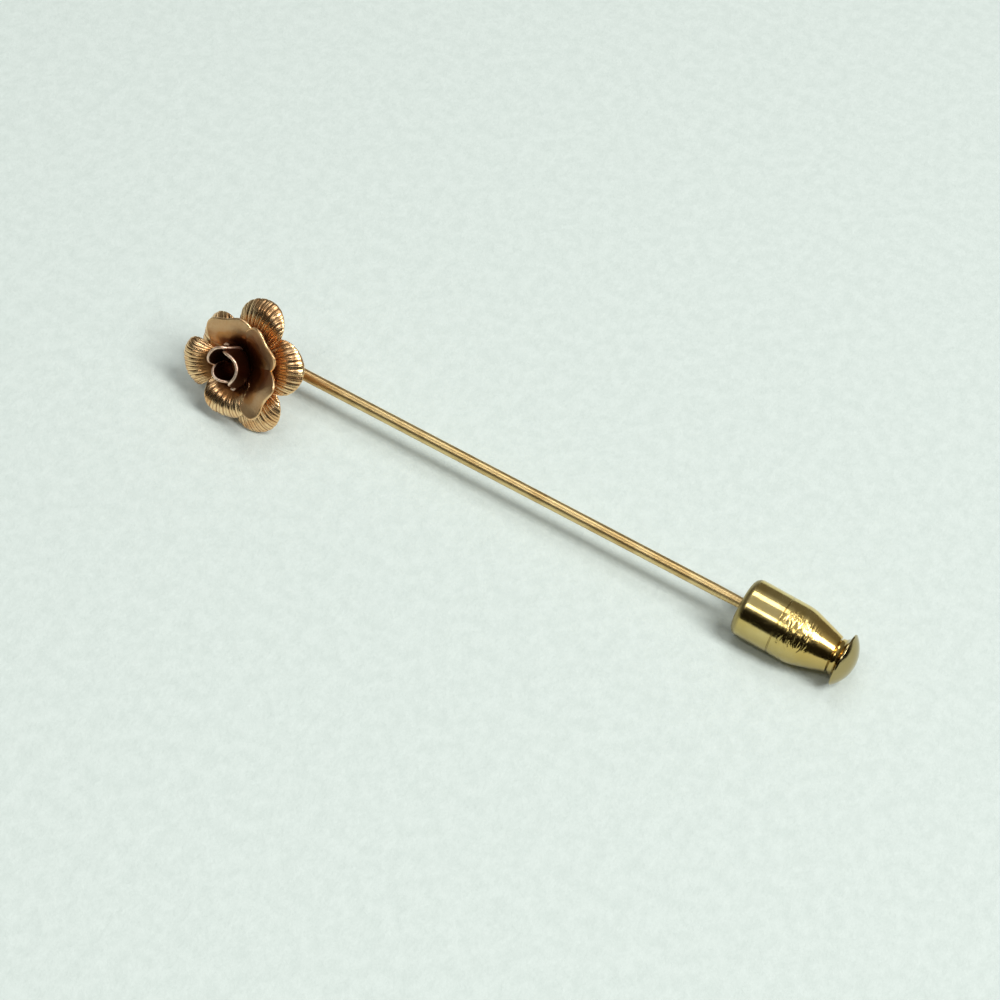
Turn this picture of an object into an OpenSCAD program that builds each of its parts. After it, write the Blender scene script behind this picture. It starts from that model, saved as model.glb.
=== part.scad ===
// Stick pin with a rose head and a spring clutch, lying on a flat surface.
// The wire runs level along X. The rose stands at its low X end, faced to -Y and
// upwards, and the clutch sits over the point at its high X end.
// The origin is the middle of the bottom of the whole pin. Lengths are in mm.

/* [Pin wire] */
// Radius of the pin wire
wire_r = 0.5; // [0.4:0.05:0.6]
// Length of the wire from below the rose to the mouth of the clutch
pin_reach = 45.5; // [38:0.5:60]
// Radius of the bend that turns the wire up into the rose, on the wire's middle
bend_r = 1.5; // [1.3:0.1:2]
// Length of the thinning stretch in front of the clutch
thin_length = 2.6; // [1.5:0.1:4]
// Radius of the wire at the mouth of the clutch
thin_r = 0.45; // [0.35:0.01:0.5]
// Length of the point inside the clutch
point_length = 6.3; // [5.5:0.1:6.6]
// Radius of the blunt tip
tip_r = 0.1; // [0.05:0.01:0.2]
// Radius of the soldered boss behind the rose
boss_r = 0.75; // [0.65:0.05:0.85]
// Thickness of the boss
boss_t = 0.5; // [0.4:0.05:0.7]
// Radius of the riveted head in the middle of the rose
rivet_r = 0.7; // [0.65:0.01:0.76]
// Height of the riveted head
rivet_h = 0.35; // [0.25:0.05:0.45]

/* [Rose] */
// Angle of the rose's axis above the surface
rose_rise = 27.3; // [24:0.1:31]
// Bearing of the rose's axis, from +X towards +Y
rose_bearing = -101.4; // [-110:0.1:-92]
// Thickness of the petals' sheet
sheet_t = 0.3; // [0.2:0.01:0.32]
// Gap between one row of petals and the next
row_gap = 0.1; // [0.08:0.01:0.15]
// Radius of the round middle that joins the petals of a row
hub_r = 1.3; // [1.15:0.05:1.5]
// Radius of the bud's round middle
bud_hub_r = 1; // [0.95:0.05:1.1]
// Clearance of the wire in the middles
hub_clearance = 0.06; // [0.03:0.01:0.1]
// Height of the ribs on the petals
rib_h = 0.08; // [0.05:0.01:0.12]
// Ribs on one petal
rib_count = 14; // [8:1:16]
// Distance from the petal's foot back to where its ribs would meet
rib_origin = 0.9; // [0.7:0.05:1.2]

/* [Outer petals] */
// Length of an outer petal from foot to tip, along its curve
outer_length = 5.4; // [5:0.05:5.8]
// Half of the width of an outer petal
outer_half = 2.35; // [2:0.05:2.5]
// Distance of an outer petal's foot from the rose's axis
outer_foot = 0.85; // [0.75:0.05:1]

/* [Inner petals] */
// Length of an inner petal from foot to tip, along its curve
inner_length = 4.85; // [4.6:0.05:5.1]
// Half of the width of an inner petal
inner_half = 2.35; // [2.1:0.05:2.5]
// Distance of an inner petal's foot from the rose's axis
inner_foot = 1.1; // [1.05:0.05:1.2]

/* [Bud] */
// Length of a bud leaf from foot to tip, along its curve
bud_length = 3.5; // [3.2:0.05:3.8]
// Half of the width of a bud leaf
bud_half = 1.75; // [1.5:0.05:1.9]
// Distance of a bud leaf's foot from the rose's axis
bud_foot = 0.85; // [0.8:0.05:0.95]

/* [Clutch] */
// Angle by which the clutch droops below the wire
droop = 2.5; // [0:0.1:3]
// Radius of the barrel
barrel_r = 2.5; // [2.3:0.05:2.8]
// Length of the barrel
barrel_length = 8.25; // [7.8:0.05:9]
// Round of the edge at the mouth
mouth_round = 0.72; // [0.4:0.02:0.9]
// Thickness of the plate at the mouth
mouth_t = 0.6; // [0.4:0.05:0.8]
// Radius of the hole that the point goes into
mouth_hole_r = 0.7; // [0.65:0.01:0.85]
// Wall of the barrel
barrel_wall = 0.42; // [0.35:0.01:0.45]
// Distance of the ring groove from the mouth
groove_at = 3.45; // [2:0.05:4]
// Width of the ring groove
groove_width = 0.15; // [0.1:0.01:0.25]
// Depth of the ring groove
groove_depth = 0.05; // [0.03:0.01:0.1]
// Distance from the mouth to where the barrel starts to narrow
nose_at = 4.6; // [4.2:0.05:4.8]
// Radius of the curve with which the barrel starts to narrow
nose_round = 4.5; // [2:0.1:5]
// Radius of the barrel's narrow end
nose_r = 1.6; // [1.55:0.01:1.7]
// Radius of the plunger's stem
stem_r = 1.3; // [1.2:0.01:1.35]
// Running clearance of the stem in the barrel
stem_clearance = 0.05; // [0.03:0.01:0.08]
// Radius of the collar that keeps the plunger in the barrel
collar_r = 1.6; // [1.5:0.01:1.65]
// Thickness of the collar
collar_t = 0.5; // [0.4:0.05:0.6]
// Clearance round the collar and in front of its stop
collar_clearance = 0.1; // [0.06:0.01:0.15]
// Distance by which the plunger pulls out
plunger_travel = 1; // [0.6:0.05:1.1]
// Radius of the bore in the plunger that takes the point
plunger_bore_r = 0.8; // [0.7:0.01:0.85]
// Depth of the bore in the plunger
plunger_bore = 2.4; // [2.1:0.1:2.8]
// Gap between the barrel's end and the plunger's flange
flange_gap = 0.1; // [0.08:0.01:0.2]
// Radius of the plunger's flange at its foot
flange_foot_r = 1.5; // [1.4:0.02:1.6]
// Height of the hollow flare from the foot to the rim
flare_h = 0.65; // [0.5:0.05:0.8]
// Radius of the plunger's flange at its rim
flange_r = 2.25; // [2.1:0.05:2.45]
// Thickness of the rim
rim_t = 0.15; // [0.1:0.01:0.25]
// Height of the domed end
dome_h = 1; // [0.7:0.05:1.2]

/* [Hidden] */
$fn = 64;

// Rows from the foot to the tip of a petal, and columns of a smooth petal
petal_rows = 9;
smooth_columns = 17;

// Columns of the tables of rows. Angles are in degrees. A direction is measured from the
// rose's axis outwards, and the cups say how far the leaf turns from its middle to its side.
LENGTH = 0;
HALF = 1;
FOOT = 2;
LEVEL = 3;
ROOT_ANGLE = 4;
KNEE_ANGLE = 5;
TIP_ANGLE = 6;
KNEE_SHARE = 7;
ROOT_CUP = 8;
TIP_CUP = 9;
ROLL_SHARE = 10;
SWIRL = 11;
// Columns that a petal adds to its row's
WAVE_SHARE = 12;
RIB_SHARE = 13;
FULLNESS = 14;

row_pitch = sheet_t + row_gap;
//            length        half        foot        level          root knee tip share cups    roll  swirl
outer_row = [outer_length, outer_half, outer_foot, 0,             84,  80,  136, 0.5,  0,  -13, 0.13, 0.04];
inner_row = [inner_length, inner_half, inner_foot, row_pitch,     46,  56,  115, 0.5,  40, 16,  0.15, 0.12];
bud_row =   [bud_length,   bud_half,   bud_foot,   2 * row_pitch, 50,  8,   4,   0.42, 30, 60,  0,    -0.15];

// Columns of the tables of petals. Bearings are about the rose's axis, from its upper side.
// A lean turns the whole petal outwards and a curl its tip alone; the rest are shares, the
// last that by which a petal's shoulders are fuller than a round outline's.
BEARING = 0;
SHARE = 1;
WIDE = 2;
LEAN = 3;
CURL = 4;
CUP = 5;
ROLL = 6;
TWIST = 7;
WAVE = 8;
RIBS = 9;
FULL = 10;

//                bearing share  wide  lean curl cup   roll twist wave  ribs full
outer_petal_table = [
                  [0,     1.02,  1,    0,   0,   1,    1,   1,    0,    1,   0],
                  [-62,   0.99,  1,    0,   0,   1,    1,   1,    0,    1,   0],
                  [-131,  1.007, 1,    -4,  0,   1,    1,   1,    0,    1,   0],
                  [126,   0.845, 1,    32,  0,   1,    1,   1,    0,    1,   0],
                  [83,    0.9,   1.06, 0,   0,   1,    1,   1,    0,    1,   0]];
inner_petal_table = [
                  [31,    0.74,  1.12, 0,   -45, 0.1,  0.3, 0,    0,    0,   0.12],
                  [-34,   0.86,  0.85, 8,   -58, 0.1,  0,   -1,   0,    0,   0.12],
                  [-98,   0.85,  1,    4,   -46, 0.1,  0,   1,    0.05, 0,   0.14],
                  [-166,  0.84,  0.95, 0,   12,  1,    1,   1,    0,    1,   0],
                  [116,   1.1,   0.87, 2,   38,  0.2,  2.8, 1,    0,    1,   0]];
bud_leaf_table = [
                  [152,   0.64,  0.7,  0,   0,   1,    0,   1,    0,    0,   0],
                  [-53,   0.76,  1.33, 2,   0,   1.7,  0,   0,    0,    0,   0.18],
                  [54,    0.82,  0.9,  3,   0,   1,    0,   1,    0,    0,   0.06]];

// Shares of a petal's length between which its cup, rolled rim, twist, wave and ribs come in
CUP_IN = [0, 0.2];
ROLL_IN = [0.2, 0.6];
SWIRL_IN = [0, 0.5];
WAVE_IN = [0.3, 0.9];
RIBS_IN = [0.42, 0.62];
// Share of a petal's half width, from its widest place out, at which the rim starts to roll
roll_from = 0.45;
// Share of their distance from the foot by which a petal's lower corners are held up
corner_share = 0.55;
// Sine of the widest ray on a petal that is nearly as broad as it is long, and the share by
// which the rays crowd towards its sides
widest_ray = 0.98;
ray_crowding = 0.35;

// Smooth step from 0 to 1 while x runs between the two ends of a span
function smooth(x, span) =
    let (c = min(max((x - span[0]) / (span[1] - span[0]), 0), 1))
    c * c * (3 - 2 * c);

// Sine of an angle over the angle, which is the chord of an arc over its length
function sine_share(angle) = abs(angle) < 0.001 ? 1 : sin(angle) / (angle * PI / 180);

// End of an arc of a length whose direction turns from a to b, as [outwards, along the axis]
function arc_end(length, a, b) =
    length * sine_share((b - a) / 2) * [sin((a + b) / 2), cos((a + b) / 2)];

// A petal's own values, which are its row's with the petal's lengths and angles
function petal_values(row, petal) = [
    row[LENGTH] * petal[SHARE],
    row[HALF] * petal[WIDE],
    row[FOOT],
    row[LEVEL],
    row[ROOT_ANGLE] + petal[LEAN],
    row[KNEE_ANGLE] + petal[LEAN],
    row[TIP_ANGLE] + petal[LEAN] + petal[CURL],
    row[KNEE_SHARE],
    row[ROOT_CUP] * petal[CUP],
    row[TIP_CUP] * petal[CUP],
    row[ROLL_SHARE] * petal[ROLL],
    row[SWIRL] * petal[TWIST],
    petal[WAVE],
    petal[RIBS],
    petal[FULL]];

// Point of a petal's middle sheet at a distance along it and a distance to its side.
// The sheet follows one arc to its knee and another to its tip, and is cupped across.
// Its lower corners are held up by a share of their distance from the foot.
function petal_point(k, along, side) =
    let (knee = k[KNEE_SHARE] * k[LENGTH],
         spread = norm([along + rib_origin, side]) - rib_origin,
         held = max(along, corner_share * spread),
         low = min(max(held, 0), knee),
         high = max(held - knee, 0),
         low_angle = k[ROOT_ANGLE] + (k[KNEE_ANGLE] - k[ROOT_ANGLE]) * low / knee,
         high_angle = k[KNEE_ANGLE] + (k[TIP_ANGLE] - k[KNEE_ANGLE]) * high / (k[LENGTH] - knee),
         middle = arc_end(low, k[ROOT_ANGLE], low_angle) + arc_end(high, k[KNEE_ANGLE], high_angle),
         angle = held > knee ? high_angle : low_angle,
         share = min(max(along / k[LENGTH], 0), 1),
         cup = (k[ROOT_CUP] + (k[TIP_CUP] - k[ROOT_CUP]) * share) * smooth(spread / k[LENGTH], CUP_IN),
         across = arc_end(side, 0, cup * side / k[HALF]),
         outness = norm([along - (k[LENGTH] - k[HALF]), side]) / k[HALF],
         past = max((outness - roll_from) / (1 - roll_from), 0),
         roll = k[ROLL_SHARE] * k[HALF] * past * past * smooth(share, ROLL_IN),
         wave = k[WAVE_SHARE] * k[HALF] * sin(180 * side / k[HALF]) * smooth(share, WAVE_IN),
         swirl = k[SWIRL] * across[1] * smooth(share, SWIRL_IN),
         lift = across[0] - roll - swirl + wave)
    [k[FOOT] + along - held + middle[0] - cos(angle) * lift,
     across[1],
     k[LEVEL] + middle[1] + sin(angle) * lift];

// Direction square to a petal's sheet, out of its upper face
function petal_normal(k, along, side, step = 0.02) =
    let (n = cross(petal_point(k, along + step, side) - petal_point(k, along - step, side),
                   petal_point(k, along, side + step) - petal_point(k, along, side - step)))
    n / norm(n);

// Columns of a petal: two to a rib where it has ribs
function petal_columns(k) =
    k[RIB_SHARE] > 0 ? 2 * rib_count + 1 : smooth_columns;

// One point of a petal's upper face (face 1) or lower face (face -1). Columns run as rays
// from behind the foot to the outline, and every other column is a rib's crest.
function petal_face_point(k, row, column, face) =
    let (v = 2 * column / (petal_columns(k) - 1) - 1,
         centre = rib_origin + k[LENGTH] - k[HALF],
         widest = asin(min(k[HALF] / centre, widest_ray)),
         ray = widest * (ray_crowding * sin(90 * v) + (1 - ray_crowding) * v),
         turned = ray + asin(max(min(centre * sin(ray) / k[HALF], 1), -1)),
         shoulder = abs(turned) < 90 ? pow(sin(2 * turned), 2) : 0,
         round = centre * cos(ray) + sqrt(max(k[HALF] * k[HALF] - pow(centre * sin(ray), 2), 0)),
         outline = round * (1 + k[FULLNESS] * shoulder),
         g = row / (petal_rows - 1),
         reach = rib_origin + (outline - rib_origin) * g,
         along = reach * cos(ray) - rib_origin,
         side = reach * sin(ray),
         crest = face > 0 ? k[RIB_SHARE] * rib_h * (column % 2) : 0,
         rise = crest * smooth(g, RIBS_IN))
    petal_point(k, along, side) + petal_normal(k, along, side) * (face * sheet_t / 2 + rise);

function petal_points(k) = [
    for (face = [1, -1])
        for (row = [0:petal_rows - 1])
            for (column = [0:petal_columns(k) - 1])
                petal_face_point(k, row, column, face)];

// Two triangles for each step of a closed grid, with its four edges closed
function petal_faces(rows, columns) =
    let (back = rows * columns)
    [for (r = [0:rows - 2], c = [0:columns - 2])
        let (a = r * columns + c, b = a + 1, d = a + columns, e = d + 1)
        each [[a, b, d], [b, e, d],
              [back + a, back + d, back + b], [back + b, back + d, back + e]],
     for (c = [0:columns - 2])
        let (a = c, b = c + 1, top = (rows - 1) * columns)
        each [[a, back + a, b], [b, back + a, back + b],
              [top + a, top + b, back + top + a], [top + b, back + top + b, back + top + a]],
     for (r = [0:rows - 2])
        let (a = r * columns, d = a + columns, right = columns - 1)
        each [[a, d, back + a], [d, back + d, back + a],
              [right + a, back + right + a, right + d], [right + d, back + right + a, back + right + d]]];

// The rose's axes: up is its upper side, over its side and out the way that it faces
rose_out = [cos(rose_rise) * cos(rose_bearing), cos(rose_rise) * sin(rose_bearing), sin(rose_rise)];
rose_up = [-sin(rose_rise) * cos(rose_bearing), -sin(rose_rise) * sin(rose_bearing), cos(rose_rise)];
rose_over = cross(rose_out, rose_up);

// Every point of a row's petals, turned to the pin's own directions
function row_points(row, table) = [
    for (petal = table)
        let (k = petal_values(row, petal), c = cos(petal[BEARING]), s = sin(petal[BEARING]))
        for (p = petal_points(k))
            (c * p[0] - s * p[1]) * rose_up + (s * p[0] + c * p[1]) * rose_over + p[2] * rose_out];

// Profiles as [radius, distance from the mouth]. A narrowing barrel bends in along an arc
// and then runs straight to its narrow end, touching the arc.
nose_length = barrel_length - nose_at;
nose_drop = barrel_r - nose_r;
nose_arc_r = min(nose_round, 0.9 * (nose_length * nose_length + nose_drop * nose_drop) / (2 * nose_drop));
nose_angle = asin(nose_arc_r / norm([nose_length, nose_arc_r - nose_drop]))
    - atan2(nose_arc_r - nose_drop, nose_length);
nose_steps = 6;
function nose_arc(inset) = [
    for (i = [0:nose_steps])
        let (a = nose_angle * i / nose_steps)
        [barrel_r - nose_arc_r + (nose_arc_r - inset) * cos(a), nose_at + (nose_arc_r - inset) * sin(a)]];

mouth_steps = 4;
mouth_arc = [
    for (i = [0:mouth_steps])
        let (a = 90 * i / mouth_steps)
        [barrel_r - mouth_round * (1 - sin(a)), mouth_round * (1 - cos(a))]];

// The cavity narrows to the stop's face, where it is just wider than the collar
stop_r = collar_r + collar_clearance;
inner_end_r = nose_r - barrel_wall * cos(nose_angle);
inner_end_at = barrel_length - barrel_wall * sin(nose_angle);
stop_at = inner_end_at - (stop_r - inner_end_r) / tan(nose_angle);

barrel_profile = concat(
    [[mouth_hole_r, 0]],
    mouth_arc,
    [[barrel_r, groove_at - groove_width / 2],
     [barrel_r - groove_depth, groove_at - groove_width / 4],
     [barrel_r - groove_depth, groove_at + groove_width / 4],
     [barrel_r, groove_at + groove_width / 2]],
    nose_arc(0),
    [[nose_r, barrel_length],
     [stem_r + stem_clearance, barrel_length],
     [stem_r + stem_clearance, stop_at],
     [stop_r, stop_at]],
    [for (i = [nose_steps:-1:0]) nose_arc(barrel_wall)[i]],
    [[barrel_r - barrel_wall, mouth_t],
     [mouth_hole_r, mouth_t]]);

// The plunger's collar waits its travel and a clearance in front of the stop
collar_end = stop_at - plunger_travel - collar_clearance;
collar_start = collar_end - collar_t;
flange_at = barrel_length + flange_gap;
rim_at = flange_at + flare_h;
dome_at = rim_at + rim_t;
dome_round = (flange_r * flange_r + dome_h * dome_h) / (2 * dome_h);
dome_angle = asin(flange_r / dome_round);
flare_steps = 5;
dome_steps = 6;
clutch_end = dome_at + dome_h;

plunger_profile = concat(
    [[plunger_bore_r, collar_start],
     [collar_r, collar_start],
     [collar_r, collar_end],
     [stem_r, collar_end],
     [stem_r, flange_at]],
    [for (i = [0:flare_steps])
        let (a = 90 * i / flare_steps)
        [flange_r - (flange_r - flange_foot_r) * cos(a), flange_at + flare_h * sin(a)]],
    [for (i = [0:dome_steps])
        let (a = dome_angle * (1 - i / dome_steps))
        [dome_round * sin(a), clutch_end - dome_round * (1 - cos(a))]],
    [[0, collar_start + plunger_bore],
     [plunger_bore_r, collar_start + plunger_bore]]);

// The clutch lies on the surface by its barrel, so the wire's height follows from it
clutch_outside = concat(barrel_profile, plunger_profile);
wire_z = max([for (p = clutch_outside) p[1] * sin(droop) + p[0] * cos(droop)]);

// The rose stands so far out along its axis that its lowest petal meets the surface
outer_points = row_points(outer_row, outer_petal_table);
lowest_petal = min([for (p = outer_points) p[2]]);
stand_off = (-lowest_petal - wire_z) / rose_out[2];
wire_start = [0, 0, wire_z];
rose_origin = wire_start + stand_off * rose_out;

// The middle of the whole pin, taken from its outermost points
rose_points = concat(
    outer_points,
    row_points(inner_row, inner_petal_table),
    row_points(bud_row, bud_leaf_table));
least_x = rose_origin[0] + min([for (p = rose_points) p[0]]);
most_x = pin_reach + clutch_end * cos(droop);
least_y = rose_origin[1] + min([for (p = rose_points) p[1]]);
most_y = max(barrel_r, rose_origin[1] + max([for (p = rose_points) p[1]]));

module to_origin() {
    translate([-(least_x + most_x) / 2, -(least_y + most_y) / 2, 0])
        children();
}

module to_rose() {
    to_origin()
        translate(rose_origin)
            rotate([0, 90 - rose_rise, rose_bearing])
                rotate([0, 0, 180])
                    children();
}

module to_clutch() {
    to_origin()
        translate([pin_reach, 0, wire_z])
            rotate([0, 90 + droop, 0])
                children();
}

// One leaf of a row as a closed sheet, turned to its bearing
module petal(row, values) {
    k = petal_values(row, values);
    rotate([0, 0, values[BEARING]])
        polyhedron(petal_points(k), petal_faces(petal_rows, petal_columns(k)));
}

// A row of leaves on one round middle, drilled for the wire
module petal_row(row, table, middle_r) {
    difference() {
        union() {
            for (values = table)
                petal(row, values);
            translate([0, 0, row[LEVEL] - sheet_t / 2])
                cylinder(r = middle_r, h = sheet_t);
        }
        translate([0, 0, row[LEVEL] - sheet_t])
            cylinder(r = wire_r + hub_clearance, h = 2 * sheet_t);
    }
}

module outer_petals() {
    color("#c9845c")
        to_rose()
            petal_row(outer_row, outer_petal_table, hub_r);
}

module inner_petals() {
    color("#c98a5a")
        to_rose()
            petal_row(inner_row, inner_petal_table, hub_r);
}

module bud() {
    color("#e0b08a")
        to_rose()
            petal_row(bud_row, bud_leaf_table, bud_hub_r);
}

// The wire's bend, in the plane of the wire and the rose's axis. Bending draws the wire out
// a little thinner, and each end of the bend runs a few degrees into the straight wire.
bend_turn = 180 - acos(rose_out[0]);
bend_setback = bend_r * tan(bend_turn / 2);
bend_thinning = 0.01;
bend_run_in = 3;

module wire_bend() {
    rotate([atan2(rose_out[2], rose_out[1]), 0, 0])
        translate([bend_setback, bend_r, 0])
            rotate([0, 0, -90 - bend_turn - bend_run_in])
                rotate_extrude(angle = bend_turn + 2 * bend_run_in)
                    translate([bend_r, 0])
                        circle(wire_r - bend_thinning);
}

// Level wire with its thinning stretch and its point
module wire_shaft() {
    rotate([0, 90, 0])
        rotate_extrude()
            polygon([
                [0, bend_setback],
                [wire_r, bend_setback],
                [wire_r, pin_reach - thin_length],
                [thin_r, pin_reach],
                [tip_r, pin_reach + point_length],
                [0, pin_reach + point_length]]);
}

// Stem of the rose: the wire's end with the boss behind the petals and the riveted head
rivet_at = 2 * row_pitch + sheet_t / 2 + row_gap;
boss_at = -sheet_t / 2 - row_gap - boss_t;
rivet_round = (rivet_r * rivet_r + rivet_h * rivet_h) / (2 * rivet_h);
rivet_steps = 5;

module rose_stem() {
    rotate([0, 90 - rose_rise, rose_bearing])
        rotate_extrude()
            polygon(concat(
                [[0, bend_setback],
                 [wire_r, bend_setback],
                 [wire_r, stand_off + boss_at],
                 [boss_r, stand_off + boss_at],
                 [boss_r, stand_off + boss_at + boss_t],
                 [wire_r, stand_off + boss_at + boss_t],
                 [wire_r, stand_off + rivet_at]],
                [for (i = [0:rivet_steps])
                    let (a = asin(rivet_r / rivet_round) * (1 - i / rivet_steps))
                    [rivet_round * sin(a), stand_off + rivet_at + rivet_h - rivet_round * (1 - cos(a))]]));
}

module pin_wire() {
    color("#d9a847")
        to_origin()
            translate(wire_start) {
                wire_shaft();
                wire_bend();
                rose_stem();
            }
}

module clutch_barrel() {
    color("#e3b548")
        to_clutch()
            rotate_extrude()
                polygon(barrel_profile);
}

module clutch_plunger() {
    color("#e8c468")
        to_clutch()
            rotate_extrude()
                polygon(plunger_profile);
}

outer_petals();
inner_petals();
bud();
pin_wire();
clutch_barrel();
clutch_plunger();
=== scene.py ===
# %% [markdown]
# # A stick pin with a rose head
# A stick pin is a length of wire with an ornament at one end and a point at the other.
# This one carries a rose made of three stamped sheets of thin metal, pressed one into the
# other on the bent-up end of the wire. A little spring clutch sits over the point.
#
# The packed part already has every solid in its place. The solids could be shown as they
# are, but their faces are coarse. So this lesson dresses each of them with a finer surface
# of the same form, gives it metal to look at, and lights it softly on a pale table, as a
# small thing would be photographed.

import math

import bpy
import numpy as np
from mathutils import Matrix, Vector


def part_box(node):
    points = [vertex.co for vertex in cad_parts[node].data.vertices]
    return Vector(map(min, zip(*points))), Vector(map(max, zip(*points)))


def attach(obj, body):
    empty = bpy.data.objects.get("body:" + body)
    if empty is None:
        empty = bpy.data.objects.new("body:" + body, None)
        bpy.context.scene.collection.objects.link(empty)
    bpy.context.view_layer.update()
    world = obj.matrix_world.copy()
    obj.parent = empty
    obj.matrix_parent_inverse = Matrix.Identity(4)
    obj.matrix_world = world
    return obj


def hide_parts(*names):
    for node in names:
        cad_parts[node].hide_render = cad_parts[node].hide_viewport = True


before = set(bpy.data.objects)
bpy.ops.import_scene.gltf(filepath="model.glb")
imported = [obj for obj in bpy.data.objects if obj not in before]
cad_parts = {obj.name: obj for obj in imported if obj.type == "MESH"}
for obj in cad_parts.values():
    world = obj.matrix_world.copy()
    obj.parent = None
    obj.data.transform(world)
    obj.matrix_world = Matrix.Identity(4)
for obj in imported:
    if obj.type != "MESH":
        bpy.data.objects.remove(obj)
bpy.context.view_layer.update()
print("nodes of the part:", sorted(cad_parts))

# %% [markdown]
# ## Surfaces from grids
# The skin of each real piece can be laid out as a grid of points: one number runs along the
# piece and one across or round it. It could be pulled into shape by hand in Blender. Here
# numpy works out a whole grid in one go, which is quick, comes out the same each time and
# keeps the shape exact at any fineness.

# %% Steps and quads of a grid
FINE = 1.0


def steps(count):
    return max(3, int(round(count * FINE)))


def smooth(x, start, end):
    """0 before start, 1 after end, and between them three c squared less two c cubed."""
    c = np.clip((x - start) / (end - start), 0, 1)
    return c * c * (3 - 2 * c)


def grid_quads(rows, columns, wrap_rows=False, wrap_columns=False):
    """Corner numbers of a grid's quads, joined round where it wraps.

    A corner's number is its row times the count of columns, plus its column.
    """
    r = np.arange(rows if wrap_rows else rows - 1)[:, None]
    c = np.arange(columns if wrap_columns else columns - 1)[None, :]
    r2, c2 = (r + 1) % rows, (c + 1) % columns
    corners = [r * columns + c, r * columns + c2, r2 * columns + c2, r2 * columns + c]
    return np.stack(corners, -1).reshape(-1, 4)


print("100 steps are drawn as", steps(100))
print("3 by 3 points make", len(grid_quads(3, 3)), "quads")

# %% [markdown]
# ## Closed skins
# A real piece is solid metal, so its skin has no gaps. A grid leaves doubled points at its
# poles and seams. Blender can merge them by distance afterwards. Here they are welded before
# the mesh is made, so every edge has two faces from the start. The volume that the faces
# enclose is counted with its sign, and that sign tells whether they look outwards.

# %% Join, weld and turn outwards
WELDS_PER_MM = 20000


def joined(parts):
    """Several (points, quads, marks) as one, with the corner numbers moved along."""
    starts = np.cumsum([0] + [len(p[0]) for p in parts[:-1]])
    points = np.concatenate([p[0] for p in parts])
    quads = np.concatenate([p[1] + s for p, s in zip(parts, starts)])
    marks = {k: np.concatenate([p[2][k] for p in parts]) for k in parts[0][2]}
    return points, quads, marks


def welded(points, quads, marks):
    """Points that share a place become one, and quads that lose a corner become triangles."""
    places = np.round(points * WELDS_PER_MM).astype(np.int64)
    _, first, number = np.unique(places, axis=0, return_index=True, return_inverse=True)
    quads = number.reshape(-1)[quads]
    same = quads == np.roll(quads, -1, axis=1)
    whole = quads[~same.any(axis=1)]
    thin = quads[same.sum(axis=1) == 1]
    triangles = thin[~same[same.sum(axis=1) == 1]].reshape(-1, 3)
    return points[first], whole, triangles, {k: v[first] for k, v in marks.items()}


def outwards(points, quads):
    """The quads turned so that the sum of their signed corner volumes is above zero."""
    a, b, c, d = (points[quads[:, i]] for i in range(4))
    volume = (np.cross(b - a, c - a) * a).sum() + (np.cross(c - a, d - a) * a).sum()
    return quads if volume > 0 else quads[:, ::-1]


print("points closer than about", 1 / WELDS_PER_MM, "mm are welded")

# %% [markdown]
# ## Pieces that ride on the part
# On the real pin the petals hold to the wire, the clutch slides on it and the plunger moves in
# the clutch. Parents or constraints could copy those motions. Here each piece is parented to an
# empty named for the body it rides on, and the solid it stands for is hidden. Its marks are
# numbers kept at every point, from which the metal's pattern is made later.

# %% Make one piece
MM = 0.001


def make_piece(name, body, stands_for, parts):
    """One mesh object from closed grids in mm, riding on a body in place of a solid."""
    parts = [(p, outwards(p, q), m) for p, q, m in parts]
    points, whole, triangles, marks = welded(*joined(parts))
    corners = np.concatenate([whole.ravel(), triangles.ravel()]).astype(np.int32)
    ends = np.concatenate([np.full(len(whole), 4), np.full(len(triangles), 3)])
    starts = np.concatenate([[0], np.cumsum(ends)[:-1]]).astype(np.int32)
    mesh = bpy.data.meshes.new(name)
    mesh.vertices.add(len(points))
    mesh.vertices.foreach_set("co", (points * MM).astype(np.float32).ravel())
    mesh.loops.add(len(corners))
    mesh.loops.foreach_set("vertex_index", corners)
    mesh.polygons.add(len(ends))
    mesh.polygons.foreach_set("loop_start", starts)
    for key, values in marks.items():
        layer = mesh.attributes.new(key, "FLOAT_VECTOR", "POINT")
        layer.data.foreach_set("vector", values.astype(np.float32).ravel())
    mesh.update(calc_edges=True)
    mesh.validate()
    mesh.polygons.foreach_set("use_smooth", np.ones(len(mesh.polygons), bool))
    piece = bpy.data.objects.new(name, mesh)
    bpy.context.scene.collection.objects.link(piece)
    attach(piece, body)
    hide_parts(stands_for)
    print(name, "has", len(mesh.vertices), "points and", (ends - 2).sum(), "triangles")
    return piece


# %% [markdown]
# ## Where everything is
# The wire lies level along X. Its end bends up into the rose, whose axis points forwards and
# upwards at `OUT`. These places could be typed in as numbers, but the packed solids already
# tell where the wire starts, so all else is measured from there. Lengths are in millimetres
# until a mesh is made.

# %% Start of the wire
WIRE_R = 0.5
PIN_REACH = 45.5
POINT_LENGTH = 6.3
wire_low, wire_high = (np.array(p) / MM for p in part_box("pin_wire"))
barrel_low, barrel_high = (np.array(p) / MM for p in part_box("clutch_barrel"))
wire_start = np.array([
    wire_high[0] - PIN_REACH - POINT_LENGTH,
    (barrel_low[1] + barrel_high[1]) / 2,
    wire_low[2] + WIRE_R,
])
print("wire starts at", wire_start.round(3))

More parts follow.
